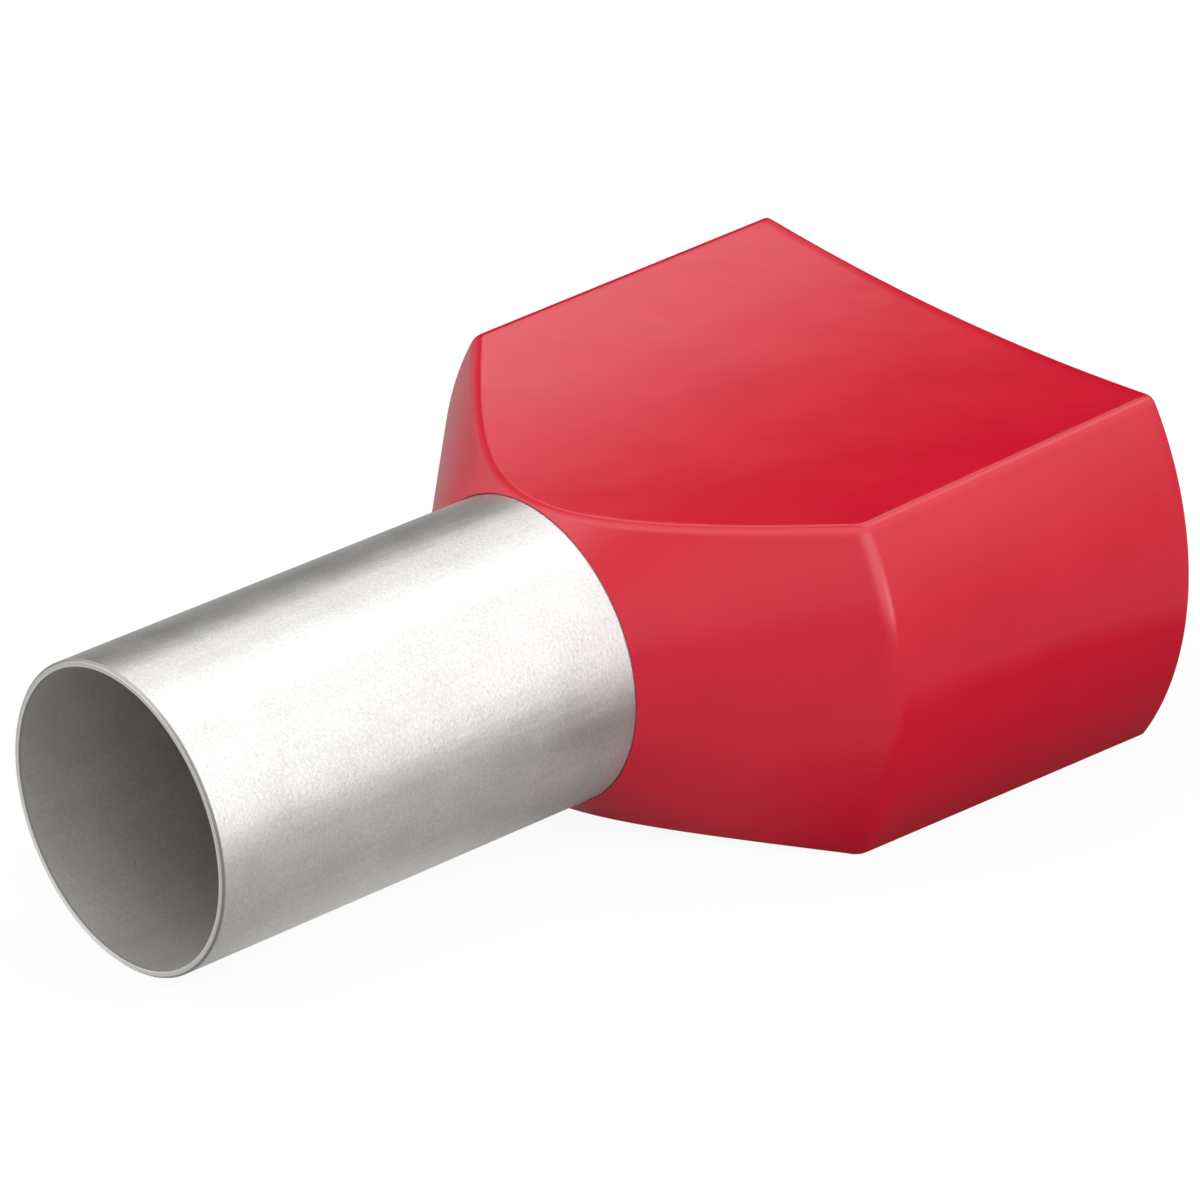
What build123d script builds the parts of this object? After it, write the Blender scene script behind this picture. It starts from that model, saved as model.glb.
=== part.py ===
from build123d import *
import os
from math import radians, tan

# A twin wire ferrule: a thin metal sleeve whose rear end is seated in a moulded plastic collar.
# The X axis is the axis of the sleeve. The origin is the centre of the sleeve's open tip,
# X runs from the tip to the mouth of the collar, and Z is the short way through the collar.

# Sleeve
sleeve_diameter = 8.7
sleeve_wall = 0.2
sleeve_reach = 14.0  # from the tip to the front of the collar
sleeve_seat = 2.5  # hidden inside the collar
seat_flare = 0.06  # how much wider the rear end is, so that the collar holds it
tip_chamfer = 0.06

# Collar
collar_length = 15.7
collar_width = 18.7  # across the round sides, at the rim
collar_wall = 0.35
nose_angle = 45.0  # between the conical front and the axis
nose_land = 0.05  # width of the ring around the sleeve that faces forward
front_cover = 0.12  # plastic over the sleeve at the front, in the middle of each flat
flat_draft = 1.5  # degrees, each flat opens towards the rim
flat_hollow_radius = 80.0  # each flat is slightly hollow across its width
side_draft = 0.4  # degrees, the round sides open towards the rim
crease_round = 0.25
chamber_round = 0.25
rim_round = 0.12
seat_clearance = 0.02  # around the sleeve, a push fit

# Places and radii that follow from the sizes above
sleeve_radius = sleeve_diameter / 2
bore_radius = sleeve_radius - sleeve_wall
rim_radius = collar_width / 2
seat_end = sleeve_reach + sleeve_seat
rim = sleeve_reach + collar_length
nose_slope = tan(radians(nose_angle))
side_slope = tan(radians(side_draft))
flat_slope = tan(radians(flat_draft))
overrun = 1.0  # how far a shape runs past the face where it is cut off

os.makedirs("parts", exist_ok=True)


def turned_form(start, start_radius, inset):
    """Cone that opens from a ring at start, then round sides, which lie inset from the outside."""
    side_at_start = rim_radius - inset - (rim - start) * side_slope
    cone_length = (side_at_start - start_radius) / (nose_slope - side_slope)
    with BuildPart() as form:
        with BuildSketch(Plane.XZ):
            with BuildLine():
                Polyline(
                    (start - overrun, 0),
                    (start - overrun, start_radius - overrun * nose_slope),
                    (start + cone_length, start_radius + cone_length * nose_slope),
                    (rim + overrun, rim_radius - inset + overrun * side_slope),
                    (rim + overrun, 0),
                    close=True,
                )
            make_face()
        revolve(axis=Axis.X)
    return form.part


def hollow_slab(inset):
    """Slab between two hollow, drafted faces, which lie inset from the outside of the flats."""
    half_width = rim_radius + overrun
    with BuildPart() as slab:
        for x in (sleeve_reach - overrun, rim + overrun):
            middle = sleeve_radius + front_cover - inset + (x - sleeve_reach) * flat_slope
            with BuildSketch(Plane.YZ.offset(x)):
                Rectangle(2 * half_width, 2 * (middle + overrun))
                with Locations((0, middle + flat_hollow_radius), (0, -middle - flat_hollow_radius)):
                    Circle(flat_hollow_radius, mode=Mode.SUBTRACT)
        loft()
    return slab.part


def moulded_form(start, start_radius, inset, round_radius):
    """Turned form between the two flats, with its creases rounded."""
    with BuildPart() as form:
        add(turned_form(start, start_radius, inset))
        add(hollow_slab(inset), mode=Mode.INTERSECT)
        creases = form.edges().filter_by_position(Axis.X, start, rim, inclusive=(False, False))
        fillet(creases, round_radius)
    return form.part


# One drawn tube, deburred at its open tip and slightly flared inside the collar
with BuildPart() as sleeve:
    with BuildSketch(Plane.XZ):
        with BuildLine():
            Polyline(
                (0, bore_radius),
                (0, sleeve_radius),
                (sleeve_reach, sleeve_radius),
                (seat_end, sleeve_radius + seat_flare),
                (seat_end, bore_radius + seat_flare),
                (sleeve_reach, bore_radius),
                close=True,
            )
        make_face()
    revolve(axis=Axis.X)
    tip_edges = sleeve.faces().sort_by(Axis.X)[0].edges()
    chamfer(tip_edges, min(tip_chamfer, sleeve_wall / 3))
sleeve.part.label = "sleeve"

# The outside of the collar and its wire chamber are the same form, one wall apart.
outside = moulded_form(sleeve_reach, sleeve_radius + nose_land, 0, crease_round)
chamber = moulded_form(seat_end, bore_radius + seat_flare, collar_wall, chamber_round)

# One moulding, with a seat for the sleeve, and a funnel from the wire chamber down to its bore
with BuildPart() as collar:
    add(outside)
    with BuildSketch(Plane.YZ.offset(sleeve_reach)):
        Circle(collar_width)
    extrude(amount=collar_length, mode=Mode.INTERSECT)
    with BuildSketch(Plane.XZ):
        with BuildLine():
            Polyline(
                (sleeve_reach, 0),
                (sleeve_reach, sleeve_radius + seat_clearance),
                (seat_end, sleeve_radius + seat_flare + seat_clearance),
                (seat_end, 0),
                close=True,
            )
        make_face()
    revolve(axis=Axis.X, mode=Mode.SUBTRACT)
    add(chamber, mode=Mode.SUBTRACT)
    rim_edges = collar.faces().sort_by(Axis.X)[-1].edges()
    fillet(rim_edges, min(rim_round, collar_wall / 3))
collar.part.label = "collar"

export_step(sleeve.part, "parts/sleeve.step")
export_step(collar.part, "parts/collar.step")
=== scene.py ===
from math import cos, pi, radians, sin, tan

import bpy
import numpy as np
from mathutils import Matrix, Vector


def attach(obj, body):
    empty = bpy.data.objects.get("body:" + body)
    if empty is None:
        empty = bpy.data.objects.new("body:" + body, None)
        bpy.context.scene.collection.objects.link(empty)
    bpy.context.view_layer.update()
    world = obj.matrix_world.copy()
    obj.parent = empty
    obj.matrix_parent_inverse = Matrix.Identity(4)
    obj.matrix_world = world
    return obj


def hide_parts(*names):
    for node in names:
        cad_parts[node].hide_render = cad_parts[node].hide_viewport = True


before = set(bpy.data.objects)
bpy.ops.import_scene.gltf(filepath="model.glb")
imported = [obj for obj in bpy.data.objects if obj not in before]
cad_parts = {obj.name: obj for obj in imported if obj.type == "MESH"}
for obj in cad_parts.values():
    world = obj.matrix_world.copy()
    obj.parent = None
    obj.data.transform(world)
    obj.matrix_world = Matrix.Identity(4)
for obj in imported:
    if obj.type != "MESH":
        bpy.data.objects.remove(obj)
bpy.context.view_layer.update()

# A twin wire ferrule. Lengths are in millimetres until a mesh is finished, then in metres.
# The sleeve's axis is X, with the origin in its open tip, and Z is the short way through.
MM = 0.001

# Sleeve
SLEEVE_RADIUS = 4.35
BORE_RADIUS = 4.15
SLEEVE_REACH = 14.0  # from the tip to the collar
SEAT_END = 16.5  # where the sleeve ends inside the collar
SEAT_FLARE = 0.06
SEAT_CLEARANCE = 0.02
TIP_BEVEL = 0.07
TIP_BURR = 0.02

# Collar
RIM = 29.7
RIM_RADIUS = 9.35
COLLAR_WALL = 0.35
FRONT_COVER = 0.12
NOSE_RADIUS = 4.40
NOSE_ANGLE = radians(45.0)
SIDE_DRAFT = radians(0.4)
FLAT_DRAFT = radians(1.5)
FLAT_HOLLOW = 80.0
CREASE_ROUND = 0.40  # along the flats
SHOULDER_ROUND = 0.65  # between the cone and the round sides
CHAMBER_ROUND = 0.25
RIM_ROUND = 0.1166

# The collar's two forms: where each starts and its radius there, how far it lies inside the
# outer surface, and how its creases along the flats and its shoulder are rounded.
OUTSIDE = (SLEEVE_REACH, NOSE_RADIUS, 0.0, CREASE_ROUND, SHOULDER_ROUND)
CHAMBER = (SEAT_END, BORE_RADIUS + SEAT_FLARE, COLLAR_WALL, CHAMBER_ROUND, CHAMBER_ROUND)

# Stretches of the two forms, each with its start, its end and the step between its rings
OUTSIDE_STRETCHES = [
    (SLEEVE_REACH, 14.6, 0.025),  # nose
    (14.6, 18.5, 0.1),  # cone
    (18.5, 19.2, 0.035),  # shoulder
    (19.2, RIM - RIM_ROUND, 0.34),  # sides
]
CHAMBER_STRETCHES = [
    (RIM - RIM_ROUND, 21.5, 0.4),  # sides
    (21.5, 20.9, 0.05),  # shoulder
    (20.9, SEAT_END, 0.14),  # funnel
]
SLEEVE_STEP = 0.5
RIM_STEPS = 6  # in each quarter of the rim's rounding
STEPS_ROUND = 384  # faces round the collar and the sleeve
TURN_LENGTH = 2.0  # a radian of turning gets as many points of a ring as this length
TRIAL_POINTS = 1201  # on a quarter of a ring, before its own points are picked
TRIAL_RADII = (2.0, 12.0)  # the forms lie between these
HALVINGS = 44  # of that range, to find a surface in it
SAME_PLACE = 0.0005  # corners closer than this are one
SHARP_ANGLE = radians(38)

# Tin, from its dull specks to its bright ones, with its tint at a glancing angle
TIN_DULL = (0.70, 0.685, 0.66)
TIN_BRIGHT = (0.93, 0.92, 0.905)
TIN_GLANCING = (0.88, 0.86, 0.83)
BORE_DULL = (0.46, 0.447, 0.42)
BORE_BRIGHT = (0.60, 0.587, 0.56)
# Painted shade: the dark line on the bevelled edge of the tip, between its cut face and the outside
TIP_EDGE_PAINTED_SHADE = (0.40, 0.39, 0.375)
CUT_FACE = (0.84, 0.83, 0.81)

# Red plastic
RED_DEEP = (0.570, 0.0025, 0.0220)
RED_LIGHT = (0.605, 0.0031, 0.0245)
RED_GLOSS = 0.66

# Floor: its grey where light falls on it and where it is reflected, each in general and in the painted
# shadow patch in front of the collar.
# The patch of painted light behind the sleeve glows in reflections, more in its middle than all round
# it.
WHITE = (1.0, 1.0, 1.0)
FLOOR_SIZE = 3000.0
FLOOR_BELOW = 4.36  # under the sleeve's axis at the tip
FLOOR_TILT = 0.88 / RIM  # the rim reaches 0.88 lower than the tip
FLOOR_LIT = (0.48, 0.30)
FLOOR_REFLECTED = (0.29, 0.03)
FLOOR_WHITENESS = 0.92  # share of its own light in what the camera sees
# Painted shadow on the floor: reflections and bounced light see it much darker in front of the collar
PAINTED_SHADOW_CENTRE = (26.0, -10.5, 0.0)
PAINTED_SHADOW_STRETCH = (0.7, 1, 0)
PAINTED_SHADOW_REACH = (6.0, 8.5)
# Painted light on the floor: a patch behind the sleeve that glows, seen only in reflections
PAINTED_GLOW_CENTRE = (6.0, 7.0, 0.0)
PAINTED_GLOW_REACH = (8.0, 12.5)
PAINTED_GLOW_LEVELS = (0.75, 0.05)

# Soft lights: azimuth from +X towards +Y and elevation in degrees, then the radius inside which
# each is even and the radius at which it has faded, in degrees, and its strength.
SOFT_LIGHTS = [
    (49, 40, 2, 11, 1.85),  # behind, seen in the top flat
    (14, 55, 4, 20, 1.15),  # behind, above the rim
    (300, 78, 25, 74, 0.62),  # overhead
    (289, 40, 20, 65, 0.68),  # right
    (274, 15, 8, 36, 1.00),  # right, low
    (285, 2, 3, 15, 2.00),  # right, on the horizon
    (139, 70, 8, 36, 0.58),  # left, high
    (139, 45, 8, 36, 0.60),  # left
    (139, 20, 20, 50, 0.75),  # left, low
    (94, 15, 8, 36, 0.40),  # behind on the left, low
    (89, 8, 3, 17, 0.20),  # behind on the left, near the horizon
    (229, 40, 20, 65, 0.38),  # front
    (229, 15, 8, 36, 0.50),  # front, low
]

# The photograph's view in metres, from a camera fitted to the outlines in it
CAMERA_PLACE = (-0.10616, -0.14022, 0.09873)
CAMERA_RIGHT = (0.75081, -0.66050, -0.00480)
CAMERA_UP = (0.31102, 0.34711, 0.88475)
SENSOR_WIDTH = 36.0
LENS = 234.47
NEAREST_SEEN = 0.005
FARTHEST_SEEN = 20.0


# Meshes


def deselect_all():
    if bpy.context.mode != "OBJECT":
        bpy.ops.object.mode_set(mode="OBJECT")
    bpy.ops.object.select_all(action="DESELECT")


def turn_on_lathe(name, outline):
    """A closed outline of (x, radius) points, drawn point by point and spun round the X axis."""
    deselect_all()
    x, radius = outline[0]
    bpy.ops.mesh.primitive_plane_add(size=0.1, location=(0, 0, 0))
    piece = bpy.context.object
    piece.name = name
    piece.data.name = name
    bpy.ops.object.mode_set(mode="EDIT")
    bpy.ops.mesh.select_all(action="SELECT")
    bpy.ops.mesh.merge(type="CENTER")  # one corner to draw from
    bpy.ops.transform.translate(value=(x, 0, radius))
    for (x0, r0), (x1, r1) in zip(outline, outline[1:] + outline[:1]):
        bpy.ops.mesh.extrude_vertices_move(TRANSFORM_OT_translate={"value": (x1 - x0, 0, r1 - r0)})
    bpy.ops.mesh.select_all(action="SELECT")
    bpy.ops.mesh.remove_doubles(threshold=SAME_PLACE)
    bpy.ops.mesh.select_all(action="SELECT")
    bpy.ops.mesh.spin(steps=STEPS_ROUND, angle=2 * pi, center=(0, 0, 0), axis=(1, 0, 0))
    bpy.ops.mesh.select_all(action="SELECT")
    bpy.ops.mesh.remove_doubles(threshold=SAME_PLACE)
    bpy.ops.mesh.normals_make_consistent(inside=False)
    bpy.ops.object.mode_set(mode="OBJECT")
    return piece


def corners(piece):
    places = np.zeros(len(piece.data.vertices) * 3)
    piece.data.vertices.foreach_get("co", places)
    return places.reshape(-1, 3)


def move_corners(piece, places):
    piece.data.vertices.foreach_set("co", places.reshape(-1))
    piece.data.update()


def finish_mesh(piece):
    """Millimetres to metres, outward faces, and smooth shading up to the sharp angle."""
    move_corners(piece, corners(piece) * MM)
    bpy.ops.object.mode_set(mode="EDIT")
    bpy.ops.mesh.select_all(action="SELECT")
    bpy.ops.mesh.normals_make_consistent(inside=False)
    bpy.ops.object.mode_set(mode="OBJECT")
    bpy.ops.object.shade_smooth_by_angle(angle=SHARP_ANGLE)


def spaced(start, end, step):
    """Even places from the start up to the end, which is left out."""
    count = max(1, round(abs(end - start) / step))
    return [start + (end - start) * i / count for i in range(count)]


# The collar's form


def rounded_meeting(first, second, normals_dot, radius):
    """Distance outside two surfaces that meet in a rounded crease, from the distances to each."""
    a = first + radius
    b = second + radius
    apart = np.sqrt(np.maximum(a * a + b * b - 2 * a * b * normals_dot, 0) / (1 - normals_dot**2))
    in_round = (a - normals_dot * b > 0) & (b - normals_dot * a > 0)
    return np.where(in_round, apart - radius, np.maximum(first, second))


def turned_distance(x, radius, start, start_radius, inset, shoulder):
    """Distance outside the cone and the round sides, and how much the nearest of them leans."""
    cone = (radius - start_radius - (x - start) * tan(NOSE_ANGLE)) * cos(NOSE_ANGLE)
    side = (radius - RIM_RADIUS + inset + (RIM - x) * tan(SIDE_DRAFT)) * cos(SIDE_DRAFT)
    normals_dot = cos(NOSE_ANGLE - SIDE_DRAFT)
    share = np.clip((side - cone) / (2 * shoulder * (1 - normals_dot)) + 0.5, 0, 1)
    lean = NOSE_ANGLE + (SIDE_DRAFT - NOSE_ANGLE) * share
    return rounded_meeting(cone, side, normals_dot, shoulder), lean


def form_distance(x, radius, angle, start, start_radius, inset, crease, shoulder):
    """Distance outside the collar's form: a cone, round sides and two hollow flats."""
    y = radius * np.sin(angle)
    z = radius * np.cos(angle)
    turned, lean = turned_distance(x, radius, start, start_radius, inset, shoulder)
    rise = FLAT_HOLLOW - np.sqrt(FLAT_HOLLOW**2 - y * y)  # of the hollow flat from its middle
    slope = y / (FLAT_HOLLOW - rise)
    middle = SLEEVE_RADIUS + FRONT_COVER - inset + (x - SLEEVE_REACH) * tan(FLAT_DRAFT)
    steepness = np.sqrt(1 + tan(FLAT_DRAFT) ** 2 + slope**2)
    flat = (z - middle - rise) / steepness
    facing = np.sin(lean) * tan(FLAT_DRAFT) + np.cos(lean) * (np.cos(angle) - np.sin(angle) * slope)
    return rounded_meeting(turned, flat, facing / steepness, crease)


def form_radius(x, angle, offset, form):
    """How far from the axis the form's surface is, moved outwards by offset."""
    nearest, farthest = TRIAL_RADII
    low = np.full(np.broadcast(x, angle).shape, nearest)
    high = np.full_like(low, farthest)
    for _ in range(HALVINGS):
        middle = (low + high) / 2
        outside = form_distance(x, middle, angle, *form) > offset
        high = np.where(outside, middle, high)
        low = np.where(outside, low, middle)
    return (low + high) / 2


def ring_shape(x, form, offset):
    """A quarter of one ring as angles and radii, its points closer together where it turns."""
    angles = np.linspace(0, pi / 2, TRIAL_POINTS)
    radii = form_radius(x, angles, offset, form)
    y, z = radii * np.sin(angles), radii * np.cos(angles)
    dy, dz = np.diff(y), np.diff(z)
    heading = np.unwrap(np.arctan2(dz, dy))
    length = np.hypot(dy, dz)
    turning = np.concatenate([[0], np.abs(np.diff(heading))])
    pace = np.concatenate([[0], np.cumsum(length + TURN_LENGTH * turning)])
    picked = np.interp(np.linspace(0, pace[-1], STEPS_ROUND // 4 + 1), pace, angles)
    picked[0], picked[-1] = 0, pi / 2
    return picked, form_radius(x, picked, offset, form)


# Pieces


def collar_rings():
    """Rings of the collar as (x, form, offset), from the nose back to the rim and in again."""
    outside = [(x, OUTSIDE, 0.0) for stretch in OUTSIDE_STRETCHES for x in spaced(*stretch)]
    chamber = [(x, CHAMBER, 0.0) for stretch in CHAMBER_STRETCHES for x in spaced(*stretch)]
    quarter = [pi / 2 * i / RIM_STEPS for i in range(RIM_STEPS + 1)]
    rim = [(RIM - RIM_ROUND * (1 - sin(a)), OUTSIDE, -RIM_ROUND * (1 - cos(a))) for a in quarter]
    rim += [(RIM - RIM_ROUND * (1 - cos(a)), CHAMBER, RIM_ROUND * (1 - sin(a))) for a in quarter]
    # The rim's rounding already ends on the chamber's first ring.
    return outside + rim + chamber[1:] + [(SEAT_END, CHAMBER, 0.0)]


def nearest_points(places, outline):
    """For each corner of a turned piece, which point of the outline it was spun from."""
    drawn = np.array(outline)
    reach = np.hypot(places[:, 1], places[:, 2])
    return np.array([
        np.argmin((drawn[:, 0] - x) ** 2 + (drawn[:, 1] - r) ** 2) for x, r in zip(places[:, 0], reach)
    ])


def press_rings(piece, rings, outline):
    """Move each ring of the round body onto its form, alike in all four quarters."""
    places = corners(piece)
    nearest = nearest_points(places, outline)
    angle = np.arctan2(np.abs(places[:, 1]), np.abs(places[:, 2]))
    place_in_quarter = angle / (pi / 2) * (STEPS_ROUND // 4)
    for index, (x, form, offset) in enumerate(rings):
        chosen = nearest == index
        angles, radii = ring_shape(x, form, offset)
        steps = np.arange(len(angles))
        new_angle = np.interp(place_in_quarter[chosen], steps, angles)
        new_radius = np.interp(place_in_quarter[chosen], steps, radii)
        places[chosen, 0] = x
        places[chosen, 1] = new_radius * np.sin(new_angle) * np.sign(places[chosen, 1])
        places[chosen, 2] = new_radius * np.cos(new_angle) * np.sign(places[chosen, 2])
    move_corners(piece, places)


def make_collar():
    """Turned as a round body first, then its rings are pressed to the two flats."""
    rings = collar_rings()
    widest = np.array([pi / 2])
    outline = [(x, float(form_radius(x, widest, offset, form)[0])) for x, form, offset in rings]
    outline += [(SEAT_END, SLEEVE_RADIUS + SEAT_FLARE + SEAT_CLEARANCE)]
    outline += [(SLEEVE_REACH, SLEEVE_RADIUS + SEAT_CLEARANCE)]
    piece = turn_on_lathe("red_collar", outline)
    press_rings(piece, rings, outline)
    finish_mesh(piece)
    return piece


def make_sleeve():
    """A thin drawn tube, bevelled outside and deburred inside at its open tip."""
    outline = [(0, BORE_RADIUS + TIP_BURR), (0, SLEEVE_RADIUS - TIP_BEVEL)]
    outline += [(x, SLEEVE_RADIUS) for x in spaced(TIP_BEVEL, SLEEVE_REACH, SLEEVE_STEP)]
    outline += [(SLEEVE_REACH, SLEEVE_RADIUS)]
    outline += [(SEAT_END, SLEEVE_RADIUS + SEAT_FLARE), (SEAT_END, BORE_RADIUS + SEAT_FLARE)]
    outline += [(x, BORE_RADIUS) for x in spaced(SLEEVE_REACH, TIP_BURR, SLEEVE_STEP)]
    outline += [(TIP_BURR, BORE_RADIUS)]
    piece = turn_on_lathe("tinned_sleeve", outline)
    finish_mesh(piece)
    return piece


# Materials


def new_material(name):
    material = bpy.data.materials.new(name)
    material.use_nodes = True
    tree = material.node_tree
    shader = tree.nodes["Principled BSDF"]
    return material, tree, shader


def noise(tree, scale, detail, stretch=(1, 1, 1)):
    """Noise in the piece's own space; scale is the number of features to a metre."""
    place = tree.nodes.new("ShaderNodeTexCoord")
    mapping = tree.nodes.new("ShaderNodeMapping")
    mapping.inputs["Scale"].default_value = stretch
    texture = tree.nodes.new("ShaderNodeTexNoise")
    texture.inputs["Scale"].default_value = scale
    texture.inputs["Detail"].default_value = detail
    tree.links.new(place.outputs["Object"], mapping.inputs["Vector"])
    tree.links.new(mapping.outputs["Vector"], texture.inputs["Vector"])
    return texture.outputs["Fac"]


def distance_from(tree, centre, scale):
    """How far a point is from a centre in metres, with the lengths along X, Y and Z scaled."""
    place = tree.nodes.new("ShaderNodeTexCoord")
    mapping = tree.nodes.new("ShaderNodeMapping")
    mapping.inputs["Location"].default_value = [-a * MM * b for a, b in zip(centre, scale)]
    mapping.inputs["Scale"].default_value = scale
    reach = tree.nodes.new("ShaderNodeVectorMath")
    reach.operation = "LENGTH"
    tree.links.new(place.outputs["Object"], mapping.inputs["Vector"])
    tree.links.new(mapping.outputs["Vector"], reach.inputs[0])
    return reach.outputs["Value"]


def spread(tree, value, low, high, start=0.3, end=0.7):
    """A value's range from start to end, made to run from low to high. Noise lies in 0.3 to 0.7."""
    node = tree.nodes.new("ShaderNodeMapRange")
    node.inputs["From Min"].default_value = start
    node.inputs["From Max"].default_value = end
    node.inputs["To Min"].default_value = low
    node.inputs["To Max"].default_value = high
    tree.links.new(value, node.inputs["Value"])
    return node.outputs["Result"]


def within(tree, distance, reach, inside=1, outside=0):
    """One value near the centre and another beyond it, fading between two distances."""
    near, far = reach
    return spread(tree, distance, inside, outside, near * MM, far * MM)


def share_of(tree, mask, amount):
    """A mask from 0 to 1, made to run from 0 to an amount."""
    return spread(tree, mask, 0, amount, 0, 1)


def combine(tree, how, first, second):
    node = tree.nodes.new("ShaderNodeMath")
    node.operation = how
    tree.links.new(first, node.inputs[0])
    tree.links.new(second, node.inputs[1])
    return node.outputs["Value"]


def blend(tree, value, first, second):
    """A mix of two colours, each written out or made by other nodes."""
    node = tree.nodes.new("ShaderNodeMix")
    node.data_type = "RGBA"
    tree.links.new(value, node.inputs["Factor"])
    for side, colour in (("A", first), ("B", second)):
        if isinstance(colour, tuple):
            node.inputs[side].default_value = (*colour, 1)
        else:
            tree.links.new(colour, node.inputs[side])
    return node.outputs["Result"]


def bump(tree, height, depth, after=None):
    """A relief of the given depth, laid over an earlier one if there is one."""
    node = tree.nodes.new("ShaderNodeBump")
    node.inputs["Distance"].default_value = depth * MM
    tree.links.new(height, node.inputs["Height"])
    if after is not None:
        tree.links.new(after, node.inputs["Normal"])
    return node.outputs["Normal"]


def sleeve_zones(tree):
    """Where the bore, the bevelled edge of the tip, which gets a painted shade, and its cut face are.
    """
    from_axis = distance_from(tree, (0, 0, 0), (0, 1, 1))
    from_tip = distance_from(tree, (0, 0, 0), (1, 0, 0))
    bore = within(tree, from_axis, (BORE_RADIUS + 0.01, BORE_RADIUS + 0.07))
    # painted shade on the bevelled edge of the tip
    painted_shade_edge = within(tree, from_tip, (TIP_BEVEL - 0.01, TIP_BEVEL + 0.02))
    cut = within(tree, from_tip, (0.005, 0.015))
    return bore, painted_shade_edge, cut


def tin_colour(tree, cloud, lines, zones):
    """Fine specks over faint clouds and draw lines, darker in the bore, with a painted shade on the
    tip's bevelled edge.
    """
    bore, painted_shade_edge, cut = zones
    speck = noise(tree, 14000, 2.0)
    worn = combine(tree, "ADD", spread(tree, cloud, 0, 0.20), spread(tree, lines, 0, 0.1))
    stain = spread(tree, combine(tree, "ADD", worn, speck), 0, 1, 0.35, 0.95)
    outside = blend(tree, stain, TIN_DULL, TIN_BRIGHT)
    inside = blend(tree, stain, BORE_DULL, BORE_BRIGHT)
    colour = blend(tree, bore, outside, inside)
    return blend(tree, cut, blend(tree, painted_shade_edge, colour, TIP_EDGE_PAINTED_SHADE), CUT_FACE)


def tinned_copper():
    """Matt tin plating with a fine grain, duller in the bore, bare at the cut."""
    material, tree, shader = new_material("tinned_copper")
    cloud = noise(tree, 700, 3.0)
    lines = noise(tree, 3500, 2.0, stretch=(0.02, 1, 1))
    grain = noise(tree, 10000, 2.0)
    zones = sleeve_zones(tree)
    bore, _, cut = zones
    tree.links.new(tin_colour(tree, cloud, lines, zones), shader.inputs["Base Color"])
    shader.inputs["Specular Tint"].default_value = (*TIN_GLANCING, 1)
    tree.links.new(spread(tree, bore, 0.90, 0.55, 0, 1), shader.inputs["Metallic"])
    rough = combine(tree, "ADD", spread(tree, cloud, 0.36, 0.40), share_of(tree, bore, 0.20))
    rough = combine(tree, "ADD", rough, share_of(tree, cut, 0.15))
    tree.links.new(rough, shader.inputs["Roughness"])
    normal = bump(tree, grain, 0.0055, after=bump(tree, lines, 0.0050))
    tree.links.new(normal, shader.inputs["Normal"])
    return material


def red_plastic():
    """Soft moulded plastic with a slight unevenness from the mould."""
    material, tree, shader = new_material("red_plastic")
    shader.inputs["Specular IOR Level"].default_value = RED_GLOSS
    cloud = noise(tree, 420, 2.0)
    grain = noise(tree, 14000, 2.0)
    colour = blend(tree, spread(tree, cloud, 0, 1), RED_DEEP, RED_LIGHT)
    tree.links.new(colour, shader.inputs["Base Color"])
    tree.links.new(spread(tree, cloud, 0.20, 0.23), shader.inputs["Roughness"])
    normal = bump(tree, grain, 0.0010, after=bump(tree, cloud, 0.0120))
    tree.links.new(normal, shader.inputs["Normal"])
    return material


def greys(tree, mask, levels):
    """A grey that goes from the first level to the second where the mask is."""
    first, second = levels
    return blend(tree, mask, (first,) * 3, (second,) * 3)


def white_floor():
    """A matt floor that the camera sees as white. Reflections show it darker, with a painted shadow
    in front of the collar, which its lower side shows, and a glowing patch of painted light behind the
    sleeve."""
    material, tree, shader = new_material("white_floor")
    shader.inputs["Roughness"].default_value = 1.0
    shader.inputs["Specular IOR Level"].default_value = 0.0
    rays = tree.nodes.new("ShaderNodeLightPath").outputs
    mirrored = rays["Is Glossy Ray"]
    seen = combine(tree, "MAXIMUM", rays["Is Camera Ray"], rays["Is Transmission Ray"])
    # painted shadow: the floor darker in front of the collar, which the collar's lower side reflects
    painted_shadow = within(tree, distance_from(tree, PAINTED_SHADOW_CENTRE, PAINTED_SHADOW_STRETCH), PAINTED_SHADOW_REACH)
    # painted reflection: a glowing patch behind the sleeve, seen only by reflected rays
    painted_glow = within(tree, distance_from(tree, PAINTED_GLOW_CENTRE, (1, 1, 0)), PAINTED_GLOW_REACH, *PAINTED_GLOW_LEVELS)
    grey = blend(tree, mirrored, greys(tree, painted_shadow, FLOOR_LIT), greys(tree, painted_shadow, FLOOR_REFLECTED))
    tree.links.new(blend(tree, seen, grey, WHITE), shader.inputs["Base Color"])
    whiteness = share_of(tree, seen, FLOOR_WHITENESS)
    # the camera's white, plus the painted glow that reflections see
    glow = combine(tree, "ADD", whiteness, combine(tree, "MULTIPLY", mirrored, painted_glow))
    white = tree.nodes.new("ShaderNodeEmission")
    mix = tree.nodes.new("ShaderNodeMixShader")
    tree.links.new(glow, mix.inputs["Fac"])
    tree.links.new(shader.outputs["BSDF"], mix.inputs[1])
    tree.links.new(white.outputs["Emission"], mix.inputs[2])
    tree.links.new(mix.outputs["Shader"], tree.nodes["Material Output"].inputs["Surface"])
    return material


# Stage


def make_floor():
    """The plane that the tip of the sleeve and the lower corners of the rim stand on."""
    deselect_all()
    place = (0, 0, -FLOOR_BELOW * MM)
    bpy.ops.mesh.primitive_plane_add(size=FLOOR_SIZE * MM, location=place, rotation=(0, FLOOR_TILT, 0))
    floor = bpy.context.object
    floor.name = "floor"
    bpy.ops.object.transform_apply(location=True, rotation=True, scale=True)
    floor.data.materials.append(white_floor())


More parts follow.
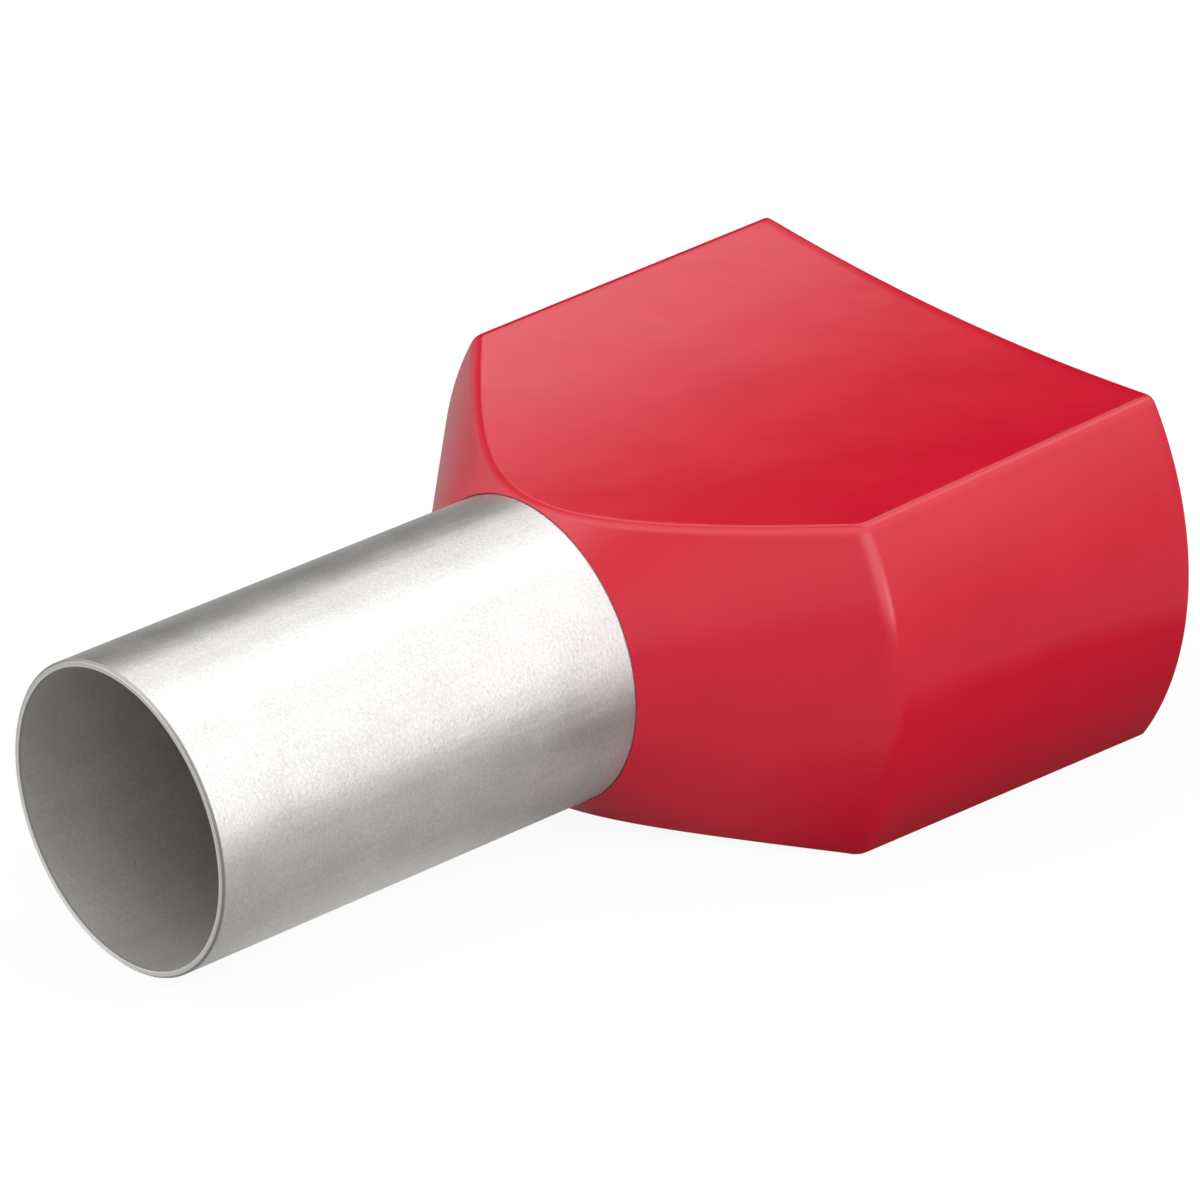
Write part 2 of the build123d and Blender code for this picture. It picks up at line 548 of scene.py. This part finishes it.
def soft_light(tree, azimuth, elevation, full, faded, strength):
    """A round patch of light on the sky, even inside the full radius and gone at the faded one."""
    place = tree.nodes.new("ShaderNodeTexCoord")
    towards = tree.nodes.new("ShaderNodeVectorMath")
    towards.operation = "DOT_PRODUCT"
    turn, level = radians(azimuth), cos(radians(elevation))
    towards.inputs[1].default_value = (cos(turn) * level, sin(turn) * level, sin(radians(elevation)))
    tree.links.new(place.outputs["Generated"], towards.inputs[0])
    glow = spread(tree, towards.outputs["Value"], 0, strength, cos(radians(faded)), cos(radians(full)))
    glow.node.interpolation_type = "SMOOTHSTEP"
    return glow


def make_world():
    """Soft lights round the table, on a backdrop that the camera sees as white."""
    world = bpy.data.worlds.new("studio")
    bpy.context.scene.world = world
    world.use_nodes = True
    tree = world.node_tree
    light = soft_light(tree, *SOFT_LIGHTS[0])
    for lamp in SOFT_LIGHTS[1:]:
        light = combine(tree, "ADD", light, soft_light(tree, *lamp))
    rays = tree.nodes.new("ShaderNodeLightPath")
    seen = tree.nodes.new("ShaderNodeMix")
    seen.inputs["B"].default_value = 1.0
    tree.links.new(rays.outputs["Is Camera Ray"], seen.inputs["Factor"])
    tree.links.new(light, seen.inputs["A"])
    background = tree.nodes["Background"]
    background.inputs["Color"].default_value = (*WHITE, 1)
    tree.links.new(seen.outputs["Result"], background.inputs["Strength"])


def make_camera():
    """The photograph's view: a long lens from the front, left and above."""
    right = Vector(CAMERA_RIGHT)
    up = Vector(CAMERA_UP)
    back = right.cross(up)
    camera = bpy.data.objects.new("camera", bpy.data.cameras.new("camera"))
    bpy.context.scene.collection.objects.link(camera)
    place = Matrix((right, up, back)).transposed().to_4x4()
    place.translation = Vector(CAMERA_PLACE)
    camera.matrix_world = place
    camera.data.sensor_width = SENSOR_WIDTH
    camera.data.lens = LENS
    camera.data.clip_start = NEAREST_SEEN
    camera.data.clip_end = FARTHEST_SEEN
    bpy.context.scene.camera = camera


make_camera()
make_world()
make_floor()

collar = make_collar()
collar.data.materials.append(red_plastic())
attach(collar, "root")
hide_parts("collar")

sleeve = make_sleeve()
sleeve.data.materials.append(tinned_copper())
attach(sleeve, "root")
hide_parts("sleeve")

bpy.context.scene.view_settings.view_transform = "Standard"
